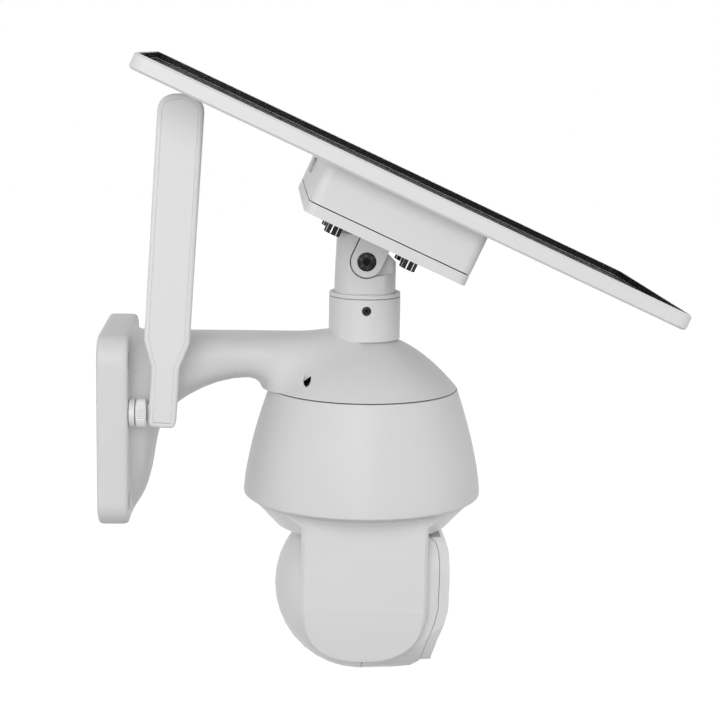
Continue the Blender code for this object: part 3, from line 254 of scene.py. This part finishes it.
# Black oxide with lighter edges: partly wear, partly a painted highlight
BLACK_STEEL = metal("black_oxide_steel", (0.010, 0.010, 0.011), 0.24, edge_wear_and_highlight=(0.045, 0.045, 0.045))
BRASS = metal("machined_brass", (0.72, 0.53, 0.24), 0.3)
NYLON = plastic("natural_nylon", (0.72, 0.70, 0.61), 0.48, 0.12, 2200)
WRAP = plastic("blue_shrink_wrap", (0.05, 0.23, 0.42), 0.36, 0.2, 1200, 0.12)
BOARD = circuit_board()
LENS = clear_glass("coated_lens_glass", (0.55, 0.60, 0.72), 0.02, 1.52)
LAMP = clear_glass("lamp_glass", (0.86, 0.86, 0.84), 0.08)
PANE = clear_film("panel_cover", (0.05, 0.052, 0.056), 0.16, 0.05)
CELL = cell_face()
RIBBON = plastic("tinned_ribbon", (0.10, 0.10, 0.11), 0.5, 0, patch=0.1, gloss=0.0, coat=0.3)
BACKING = plastic("black_backing", (0.018, 0.018, 0.021), 0.5, 0, patch=0.25, gloss=0.0, coat=0.3)
MILKY = fresnel_lens()


# Mesh helpers
WELD = 2e-6
FLAT_WITHIN = math.radians(0.6)
BEVEL_FROM = math.radians(38)
SKIN_SHARP = 42
ON_AXIS = 1e-7
NEARLY_STRAIGHT = math.radians(176)


def mesh_of(bm, name):
    made = bpy.data.meshes.new(name)
    bm.to_mesh(made)
    bm.free()
    return made


def smooth(mesh, angle):
    mesh.shade_smooth()
    mesh.set_sharp_from_angle(angle=math.radians(angle))
    return mesh


def evaluated(piece):
    """The piece's mesh with its modifiers in it."""
    bpy.context.view_layer.update()
    return bpy.data.meshes.new_from_object(piece.evaluated_get(bpy.context.evaluated_depsgraph_get()))


def loose(name, mesh):
    made = bpy.data.objects.new(name, mesh)
    bpy.context.scene.collection.objects.link(made)
    return made


def place(piece, finish, *nodes):
    """Gives a finished piece its material, even normals and its body, and hides the nodes that it stands for.
    """
    piece.data.materials.clear()
    piece.data.materials.append(finish)
    weighted = piece.modifiers.new("even_normals", "WEIGHTED_NORMAL")
    weighted.keep_sharp = True
    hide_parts(*nodes)
    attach(piece, BODY_OF[nodes[0]])
    return piece


def welded(node):
    """A node's shape as one welded mesh with its flat faces made whole."""
    bm = bmesh.new()
    bm.from_mesh(NODES[node].data)
    bmesh.ops.remove_doubles(bm, verts=bm.verts, dist=WELD)
    bmesh.ops.dissolve_limit(bm, angle_limit=FLAT_WITHIN, verts=bm.verts, edges=bm.edges)
    points = [v.co.copy() for v in bm.verts]
    bm.verts.index_update()
    faces = [[v.index for v in f.verts] for f in bm.faces]
    bm.free()
    mesh = bpy.data.meshes.new(node + "_welded")
    mesh.from_pydata(points, [], faces)
    return mesh


def skin(node, finish, width=0.0, segments=3):
    """A node's own shape with softened edges and smooth shading."""
    piece = loose(node + "_skin", welded(node))
    if width:
        bevel = piece.modifiers.new("soft_edges", "BEVEL")
        bevel.width = width
        bevel.segments = segments
        bevel.limit_method = "ANGLE"
        bevel.angle_limit = BEVEL_FROM
        bevel.use_clamp_overlap = True
        bevel.miter_outer = "MITER_ARC"
        piece.data = evaluated(piece)
        piece.modifiers.clear()
    smooth(piece.data, SKIN_SHARP)
    return place(piece, finish, node)


def rounded(points, radii, steps=4):
    """A polyline with its inner corners turned into arcs."""
    made = [Vector(points[0])]
    for before, at, after, radius in zip(points, points[1:], points[2:], radii):
        at = Vector(at)
        back = Vector(before) - at
        on = Vector(after) - at
        turn = back.angle(on)
        if radius <= 0 or turn > NEARLY_STRAIGHT:
            made.append(at)
            continue
        reach = min(radius / math.tan(turn / 2), back.length * 0.48, on.length * 0.48)
        start = at + back.normalized() * reach
        end = at + on.normalized() * reach
        for i in range(steps + 1):
            t = i / steps
            made.append(start * (1 - t) ** 2 + at * 2 * t * (1 - t) + end * t * t)
    return made + [Vector(points[-1])]


def lathe(name, profile, steps, where, axis="Z", wave=None):
    """Turns a closed or axis to axis profile of (radius, along). wave may change the radius at a step."""
    bm = bmesh.new()
    rings = []
    for radius, along in profile:
        if radius < ON_AXIS:
            rings.append([bm.verts.new((0, 0, along))] * steps)
            continue
        ring = []
        for i in range(steps):
            r = radius if wave is None else wave(i, radius, along)
            turn = 2 * math.pi * i / steps
            ring.append(bm.verts.new((r * math.cos(turn), r * math.sin(turn), along)))
        rings.append(ring)
    open_ends = profile[0][0] < ON_AXIS and profile[-1][0] < ON_AXIS
    pairs = list(zip(rings, rings[1:])) + ([] if open_ends else [(rings[-1], rings[0])])
    for low, high in pairs:
        for i in range(steps):
            j = (i + 1) % steps
            corners = [low[i], low[j], high[j], high[i]]
            unique = [c for k, c in enumerate(corners) if c not in corners[:k]]
            if len(unique) > 2:
                bm.faces.new(unique)
    bm.transform(where @ ALONG[axis])
    bmesh.ops.recalc_face_normals(bm, faces=bm.faces)
    return loose(name, mesh_of(bm, name))


def apply_boolean(piece, other, operation):
    """Joins another form to a piece, or cuts it out, and removes that form."""
    step = piece.modifiers.new("form", "BOOLEAN")
    step.operation = operation
    step.solver = "EXACT"
    step.object = other
    piece.data = evaluated(piece)
    piece.modifiers.clear()
    bpy.data.objects.remove(other)


# Wall bracket: plate, boss, arm and cap run into each other in wide hollows
def soft_min(a, b, blend):
    h = np.clip(0.5 + 0.5 * (b - a) / blend, 0, 1)
    return b * (1 - h) + a * h - blend * h * (1 - h)


def even(field, step):
    """Turns any field with the right zero into roughly a distance."""
    gx, gy, gz = np.gradient(field, step)
    return field / np.maximum(np.sqrt(gx * gx + gy * gy + gz * gz), 1e-3)


def bracket_field(step):
    """Distance to the bracket's skin, in millimetres, on a grid."""
    low = np.array((-4.0, -64.0, -62.0))
    high = np.array((221.0, 64.0, 60.0))
    axes = [np.arange(a, b, step, dtype=np.float32) for a, b in zip(low, high)]
    x, y, z = np.meshgrid(*axes, indexing="ij")
    corner, edge = 16.0, 2.6
    wide = np.maximum(np.abs(y) - 54 + corner, 0)
    tall = np.maximum(np.abs(z) - 56 + corner, 0)
    sides = np.hypot(wide, tall) - corner + edge
    thick = np.abs(x - 9) - 9 + edge
    outside = np.hypot(np.maximum(sides, 0), np.maximum(thick, 0))
    plate = np.minimum(np.maximum(sides, thick), 0) + outside - edge
    boss = even((y / 35) ** 4 + (z / 53.5) ** 4 + np.maximum(x - 18, -18) / 12 - 1, step)
    boss = np.maximum(boss, 6 - x)
    top = 18.8 + 33.0
    station = [24 + (86.7 - 24) * i / 7 for i in range(8)]
    under = [top - 27 - 33 * (1 - i / 7) ** 2 for i in range(8)]
    half = [22 + 11 * (1 - i / 7) ** 2 for i in range(8)]
    station += [91.5, 95.7, 98.7, 103.0, 144.0]
    under += [23.7, 21.7, 19.2, 16.0, 16.0]
    half += [22.0, 22.0, 22.0, 21.6, 17.6]
    floor = np.interp(axes[0], station, under)[:, None, None]
    spread = np.interp(axes[0], station, half)[:, None, None]
    middle = (top + floor) / 2
    form = (np.abs(y / spread) ** 2.4 + np.abs((z - middle) / (top - middle)) ** 2.4) ** (1 / 2.4) - 1
    arm = np.maximum(even(form, step), np.maximum(20 - x, x - 144))
    out = np.hypot(x - 155, y)
    dome = even(z - 18.8 - 33 * (1 - (out / 56.3) ** 2), step)
    dome = np.maximum(dome, out - 60)
    under_top = np.clip((44 - z) / 24, 0, 1)
    body = soft_min(boss, arm, 4.0 + 14.0 * under_top)
    body = soft_min(body, dome, 14.0)
    within = np.maximum(np.abs(z) - 54.5, np.abs(y) - 52.5)
    body = soft_min(np.where(x < 60, np.maximum(body, within), body), plate, 2.5)
    body = np.where(x > 80, np.maximum(body, 14 - z), body)
    hollow = even(z - 18.8 - 30.4 * (1 - (out / 53.7) ** 2), step)
    hollow = np.maximum(hollow, out - 53.7)
    return np.maximum(body, -hollow).astype(np.float32), low


def wall_bracket():
    step = 1.2
    field, low = bracket_field(step)
    grid = openvdb.FloatGrid(6.0)
    grid.copyFromArray(np.clip(field, -6.0, 6.0))
    points, quads = grid.convertToQuads(0.0)[:2]
    mesh = bpy.data.meshes.new("wall_bracket_skin")
    mesh.from_pydata((points * step + low) * MM, [], quads.tolist())
    bm = bmesh.new()
    bm.from_mesh(mesh)
    bmesh.ops.recalc_face_normals(bm, faces=bm.faces)
    for i in range(4):
        bmesh.ops.smooth_vert(bm, verts=bm.verts, factor=0.4, use_axis_x=True, use_axis_y=True,
                              use_axis_z=True)
    bm.to_mesh(mesh)
    bm.free()
    piece = loose("wall_bracket_skin", mesh)
    below = [(0, -0.03), (0.0745, -0.03), (0.0745, 0.0003), (0, 0.0003)]
    apply_boolean(piece, lathe("under_seam", below, 64, BELL), "DIFFERENCE")
    collar = rounded([(0, 0.030), (0.0213, 0.030), (0.0213, 0.055), (0, 0.055)], (0, 0.0005))
    apply_boolean(piece, lathe("collar_form", collar, 94, BELL), "UNION")
    bore = [(0, 0.036), (0.0186, 0.036), (0.0186, 0.058), (0, 0.058)]
    apply_boolean(piece, lathe("collar_bore", bore, 90, BELL), "DIFFERENCE")
    shank, head = 0.00325, 0.0055
    for sign_y in (-1, 1):
        for sign_z in (-1, 1):
            profile = [(0, -0.002), (shank, -0.002), (shank, 0.014), (head, 0.014), (head, 0.034), (0, 0.034)]
            at = Matrix.Translation((0, sign_y * 0.0445, sign_z * 0.041))
            apply_boolean(piece, lathe("plate_hole", profile, 34, at, "X"), "DIFFERENCE")
        turn = math.radians(138)
        at = BELL @ Matrix.Translation((0.0465 * math.cos(turn), sign_y * 0.0465 * math.sin(turn), 0))
        at = at @ Matrix.Translation((0, 0, 0.0098)) @ Matrix.Rotation(math.radians(12), 4, "Y")
        oval = Matrix.Diagonal((0.0021, 1.0, 0.0040, 1.0))
        pocket = [(0, -0.02), (1.0, -0.02), (1.0, 0.02), (0, 0.02)]
        shift = Matrix.Translation((0, sign_y * 0.017, 0))
        apply_boolean(piece, lathe("screw_pocket", pocket, 30, at @ shift @ oval, "Y"), "DIFFERENCE")
    hole = [(0, -0.023), (0.0028, -0.023), (0.0028, 0.0), (0, 0.0)]
    at = BELL @ Matrix.Translation((0, 0, 0.0485))
    apply_boolean(piece, lathe("set_screw_hole", hole, 30, at, "Y"), "DIFFERENCE")
    smooth(piece.data, 32)
    return place(piece, PAINT, "wall_bracket")


def bell_housing():
    depths = [0.0004 + 0.0636 * i / 30 for i in range(31)]

    def radius(depth):
        return 0.0713 - 0.015 * max(0.0, 1 - depth / 0.064) ** 1.5

    outer = [(radius(d), -d) for d in depths]
    foot = [(0.067, -0.067), (0.0662, -0.067), (0.0662, -0.0605)]
    inner = [(radius(d) - 0.0026, -d) for d in (0.0605, 0.04, 0.02, 0.0004)]
    corners = [(outer[0][0] - 0.0008, -0.0004)] + outer + foot + inner
    radii = [0.0003] + [0.0] * 29 + [0.0012, 0.0006, 0.0003] + [0.0] * 4
    piece = lathe("bell_housing_skin", rounded(corners, radii), 120, BELL)
    smooth(piece.data, 40)
    return place(piece, PAINT, "bell_housing")


# Screws with hexagon sockets and knurled heads
def socket_head(name, radius, height, shank, length, where, axis, node, knurl=0, key=0.55):
    """A cap screw: the seat of the head at the origin, the shank along the axis."""
    edge = radius * 0.1
    head = [(0, -height), (radius, -height), (radius, 0), (shank, 0), (shank, length), (0, length)]
    profile = rounded(head, (edge, edge * 0.4, 0.0, edge, 0.0), 3)

    def grooves(i, r, along):
        return r - (radius * 0.09 if r > radius * 0.985 and i % 5 > 2 else 0)

    steps = knurl * 5 if knurl else 48
    piece = lathe(name, profile, steps, Matrix(), "Z", grooves if knurl else None)
    deep, over, across = -height * 0.4, -height * 1.2, radius * key
    socket = [(0, deep), (across, deep), (across, over), (0, over)]
    apply_boolean(piece, lathe("key", socket, 6, Matrix()), "DIFFERENCE")
    seated = where @ ALONG[axis]
    piece.data.transform(seated)
    smooth(piece.data, 30)
    place(piece, BLACK_STEEL, node)
    # Knurl grooves and socket walls take bright steel: painted highlights of the white surround on the black
    # screws
    piece.data.materials.append(STEEL)
    back = seated.inverted()
    for face in piece.data.polygons:
        spot = back @ face.center
        out = Vector((spot.x, spot.y)).length
        # Groove floors and socket walls below: painted highlights in bright steel
        groove_highlight = knurl and radius * 0.7 < out < radius * 0.93
        wall = out < radius * key and -height < spot.z < -height * 0.45
        upright = abs((back.to_3x3() @ face.normal).z) < 0.3
        face.material_index = 1 if upright and (groove_highlight or wall) else 0
    return piece


def local_box(node, where):
    """A node's lowest and highest corner in a turned frame."""
    back = where.inverted()
    points = np.array([back @ v.co for v in NODES[node].data.vertices])
    return Vector(points.min(0)), Vector(points.max(0))


def fasteners():
    for i in range(4):
        node = f"bracket_screw_{i + 1}"
        low, high = local_box(node, PANEL)
        seat = low.z + 0.0056
        middle = ((low.x + high.x) / 2, (low.y + high.y) / 2, seat)
        where = PANEL @ Matrix.Translation(middle)
        socket_head(node + "_head", 0.005, 0.0056, 0.0025, high.z - seat, where, "Z", node, knurl=8)
    low, high = local_box("pivot_bolt", PANEL)
    seat = low.y + 0.0039
    where = PANEL @ Matrix.Translation((0, seat, 0))
    socket_head("pivot_bolt_head", 0.0054, 0.0039, 0.003, high.y - seat, where, "Y", "pivot_bolt", key=0.5)
    low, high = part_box("set_screw")
    where = Matrix.Translation((REACH, low.y + 0.002, (low.z + high.z) / 2))
    socket_head("set_screw_head", (high.z - low.z) / 2, 0.002, 0.002, high.y - low.y - 0.002, where, "Y",
                "set_screw", key=0.55)
    for side in ("near", "far"):
        node = "cap_screw_" + side
        low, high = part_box(node)
        middle = (low + high) / 2
        size = (high.x - low.x) / 2
        seat = high.z - 0.0046
        down = Matrix.Translation((middle.x, middle.y, seat)) @ Matrix.Rotation(math.pi, 4, "X")
        socket_head(node + "_head", size, 0.0018, size * 0.7, seat - low.z, down, "Z", node)
    skin("pivot_nut", BLACK_STEEL, 0.0003, 2)


# Solar panel: black backing, cells with clipped corners, ribbons and a clear pane
def solar_face():
    low, high = local_box("solar_laminate", PANEL)
    skin("solar_laminate", BACKING, 0.0002, 1)
    bm = bmesh.new()
    ribbon = bmesh.new()
    along, across = 8, 4
    margin, gap = 0.006, 0.0024
    pitch_u = (high.x - low.x - 2 * margin) / along
    pitch_v = (high.y - low.y - 2 * margin) / across
    top = high.z + 0.00002
    thick, clip = 0.00016, 0.0045

    def plate(target, points, height):
        base = [target.verts.new((u, v, top)) for u, v in points]
        roof = [target.verts.new((u, v, top + height)) for u, v in points]
        target.faces.new(list(reversed(base)))
        target.faces.new(roof)
        for i in range(len(points)):
            j = (i + 1) % len(points)
            target.faces.new((base[i], base[j], roof[j], roof[i]))

    for i in range(along):
        for j in range(across):
            u0 = low.x + margin + i * pitch_u + gap / 2
            v0 = low.y + margin + j * pitch_v + gap / 2
            u1, v1 = u0 + pitch_u - gap, v0 + pitch_v - gap
            plate(bm, [(u0 + clip, v0), (u1 - clip, v0), (u1, v0 + clip), (u1, v1 - clip), (u1 - clip, v1),
                       (u0 + clip, v1), (u0, v1 - clip), (u0, v0 + clip)], thick)
            for share in (0.2, 0.5, 0.8):
                v = v0 + (v1 - v0) * share
                ends = (u0 - gap / 2, u1 + gap / 2)
                plate(ribbon, [(ends[0], v - 0.0004), (ends[1], v - 0.0004), (ends[1], v + 0.0004),
                               (ends[0], v + 0.0004)], thick * 1.5)
    for name, made, finish in (("silicon_cells", bm, CELL), ("cell_ribbons", ribbon, RIBBON)):
        made.transform(PANEL)
        piece = loose(name, mesh_of(made, name))
        piece.data.materials.append(finish)
        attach(piece, "panel")


# Antenna connector: knurled nut
def antenna_nut():
    low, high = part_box("antenna_nut")
    middle = (low + high) / 2
    radius = (high.z - low.z) / 2
    length = high.x - low.x
    corners = [(0.0034, 0), (radius, 0), (radius, length), (0.0034, length), (0.0034, length / 2)]
    profile = rounded(corners, (0.0016, 0.0016, 0.0002), 5)

    def grooves(i, r, along):
        return r - (0.00045 if r > radius * 0.98 and i % 2 else 0)

    where = Matrix.Translation((low.x, middle.y, middle.z))
    piece = lathe("antenna_nut_skin", profile, 72, where, "X", grooves)
    smooth(piece.data, 30)
    return place(piece, PADDLE, "antenna_nut")


# Antenna blade: one white moulding with a fine joint line inside its edge and the pin moulded over
def antenna_blade():
    low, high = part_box("antenna_pin")
    lean = Matrix.Translation((low + high) / 2) @ Matrix.Rotation(math.radians(3.5), 4, "Y")
    back = lean.inverted()
    points = [back @ v.co for v in NODES["antenna_blade"].data.vertices]
    rim = [p for p in points if abs(p.y) < 0.0040 and abs(abs(p.y) - 0.0029) > 1e-4]
    wall = {(round(p.x, 5), round(p.z, 5)) for p in rim}
    outline = sorted(wall, key=lambda p: math.atan2(p[1] - 0.09, p[0]))
    outline = [Vector(p) for p in outline]
    outline = [p for i, p in enumerate(outline) if (p - outline[i - 1]).length > 0.0004]
    count = len(outline)

    def ring(bm, inside, y):
        made = []
        for i, p in enumerate(outline):
            before = (p - outline[i - 1]).normalized()
            after = (outline[(i + 1) % count] - p).normalized()
            along = (before + after).normalized()
            made.append(bm.verts.new((p.x - along.y * inside, y, p.y + along.x * inside)))
        return made

    steps = [(0, 0.0034), (0.00025, 0.0045), (0.0009, 0.0053), (0.0018, 0.0056), (0.0025, 0.0056),
             (0.0027, 0.0052), (0.0030, 0.0052), (0.0032, 0.0056)]
    bm = bmesh.new()
    rings = [ring(bm, inside, -y) for inside, y in reversed(steps)]
    rings += [ring(bm, inside, y) for inside, y in steps]
    for one, two in zip(rings, rings[1:]):
        for i in range(count):
            j = (i + 1) % count
            bm.faces.new((one[i], one[j], two[j], two[i]))
    bm.faces.new(rings[0])
    bm.faces.new(list(reversed(rings[-1])))
    bmesh.ops.recalc_face_normals(bm, faces=bm.faces)
    piece = loose("antenna_blade_skin", mesh_of(bm, "antenna_blade_skin"))
    bm = bmesh.new()
    bmesh.ops.create_cube(bm, size=1)
    bm.transform(Matrix.Translation((0, 0, -0.009)) @ Matrix.Diagonal((0.05, 0.0058, 0.042, 1)))
    apply_boolean(piece, loose("fork_slot", mesh_of(bm, "fork_slot")), "DIFFERENCE")
    piece.data.transform(lean)
    smooth(piece.data, 36)
    return place(piece, PADDLE, "antenna_blade", "antenna_pin")


wall_bracket()
bell_housing()
antenna_blade()
fasteners()
solar_face()
antenna_nut()
pane = skin("panel_glass", PANE)
pane.data.materials.append(BACKING)
for face in pane.data.polygons:
    face.material_index = 0 if abs(face.normal.dot(UP_FROM_PANEL)) > 0.5 else 1
for node, finish, width, segments in (
    ("panel_frame", FRAME, 0.0009, 3),
    ("battery_box", BOX, 0.0005, 2),
    ("battery_cover", BOX, 0.0005, 2),
    ("power_button", BUTTON, 0.0008, 3),
    ("hinge_bracket", BOX, 0.0007, 3),
    ("hinge_post", PAINT, 0.0009, 3),
    ("collar_ring", PAINT, 0.0005, 3),
    ("seam_gasket", SEAL, 0.0001, 1),
    ("antenna_knuckle", PADDLE, 0.0006, 3),
    ("antenna_jack", PADDLE, 0.0005, 3),
    ("pan_yoke", SHELL, 0.0009, 3),
    ("head_rear_shell", SHELL, 0.0005, 2),
    ("head_front_shell", SHELL, 0.0005, 2),
    ("front_bezel", SHELL, 0.0012, 3),
    ("front_window", WINDOW, 0.0004, 2),
    ("lens_barrel", DARK, 0.0004, 2),
):
    skin(node, finish, width, segments)
skin("lens_glass", LENS)
skin("motion_lens", MILKY)
for i in range(4):
    skin(f"lamp_{i + 1}", LAMP)

# Solids that stay as they are, inside the housings
INNER = {"steel": STEEL, "brass": BRASS, "nylon": NYLON, "circuit_board": BOARD, "cell_wrap": WRAP,
         "grey_plastic": GREY, "black_plastic": DARK}
for node, solid in NODES.items():
    if not solid.hide_render:
        solid.data.materials.clear()
        solid.data.materials.append(INNER[SLOT_OF[node]])


# Studio: pale floor, white surround, soft lamps and the photograph's camera
def seen_rays(tree):
    """1 where the surround is looked at straight, in a reflection or through glass."""
    ray = tree.nodes.new("ShaderNodeLightPath")
    share = ray.outputs["Is Camera Ray"]
    for other in ("Is Glossy Ray", "Is Transmission Ray"):
        most = tree.nodes.new("ShaderNodeMath")
        most.operation = "MAXIMUM"
        tree.links.new(share, most.inputs[0])
        tree.links.new(ray.outputs[other], most.inputs[1])
        share = most.outputs[0]
    return share


def studio():
    bm = bmesh.new()
    bmesh.ops.create_grid(bm, x_segments=2, y_segments=2, size=14)
    bm.transform(Matrix.Translation((0, 0, -1.25)))
    floor = loose("floor", mesh_of(bm, "floor"))
    n = Nodes("pale_floor")
    n.set(Base_Color=n.ramp(n.noise(3, 2), (0.3, (0.33, 0.33, 0.33)), (0.7, (0.35, 0.35, 0.35))))
    n.set(Roughness=n.span(n.noise(60, 2), 0.85, 0.95), Specular_IOR_Level=0.1)
    n.set(Emission_Color=(1, 1, 1, 1), Emission_Strength=n.maths("MULTIPLY", seen_rays(n.tree), 0.94))
    floor.data.materials.append(n.material)

    world = bpy.data.worlds.new("white_surround")
    bpy.context.scene.world = world
    world.use_nodes = True
    tree = world.node_tree
    back = tree.nodes["Background"]
    strength = tree.nodes.new("ShaderNodeMapRange")
    strength.inputs["To Min"].default_value = 0.31
    strength.inputs["To Max"].default_value = 1.0
    tree.links.new(seen_rays(tree), strength.inputs["Value"])
    tree.links.new(strength.outputs["Result"], back.inputs["Strength"])
    back.inputs["Color"].default_value = (1, 1, 1, 1)

    middle = Vector((0.165, 0, 0.03))
    lamps = (("key_lamp", (-0.3, -2.4, 0.8), 1.8, 31), ("left_lamp", (-2.1, -1.2, 0.2), 2.6, 16),
             ("right_lamp", (2.4, -1.1, 0.3), 2.6, 20), ("back_lamp", (-0.4, 2.5, 0.2), 1.8, 18))
    for name, at, size, power in lamps:
        lamp = bpy.data.lights.new(name, "AREA")
        lamp.shape = "DISK"
        lamp.size = size
        lamp.energy = power
        made = bpy.data.objects.new(name, lamp)
        made.location = at
        made.visible_glossy = name != "back_lamp"
        made.rotation_euler = (middle - Vector(at)).to_track_quat("-Z", "Y").to_euler()
        bpy.context.scene.collection.objects.link(made)


def camera():
    """The photograph's view: 90 mm lens on a 36 mm square frame, slightly high and slightly rolled."""
    stand = (0.0927, -1.0616, 0.2188)
    turn, dip, roll = (math.radians(a) for a in (3.24, 9.82, 0.95))
    ahead = Vector((math.sin(turn) * math.cos(dip), math.cos(turn) * math.cos(dip), -math.sin(dip)))
    level = Vector((math.cos(turn), -math.sin(turn), 0))
    down = ahead.cross(level)
    right = level * math.cos(roll) - down * math.sin(roll)
    down = ahead.cross(right)
    lens = bpy.data.cameras.new("photo_camera")
    lens.lens = 90
    lens.sensor_width = 36
    lens.sensor_fit = "HORIZONTAL"
    lens.clip_end = 60
    made = bpy.data.objects.new("photo_camera", lens)
    axes = Matrix((right, -down, -ahead)).transposed().to_4x4()
    made.matrix_world = Matrix.Translation(stand) @ axes
    bpy.context.scene.collection.objects.link(made)
    bpy.context.scene.camera = made


studio()
camera()
bpy.context.scene.view_settings.view_transform = "Standard"
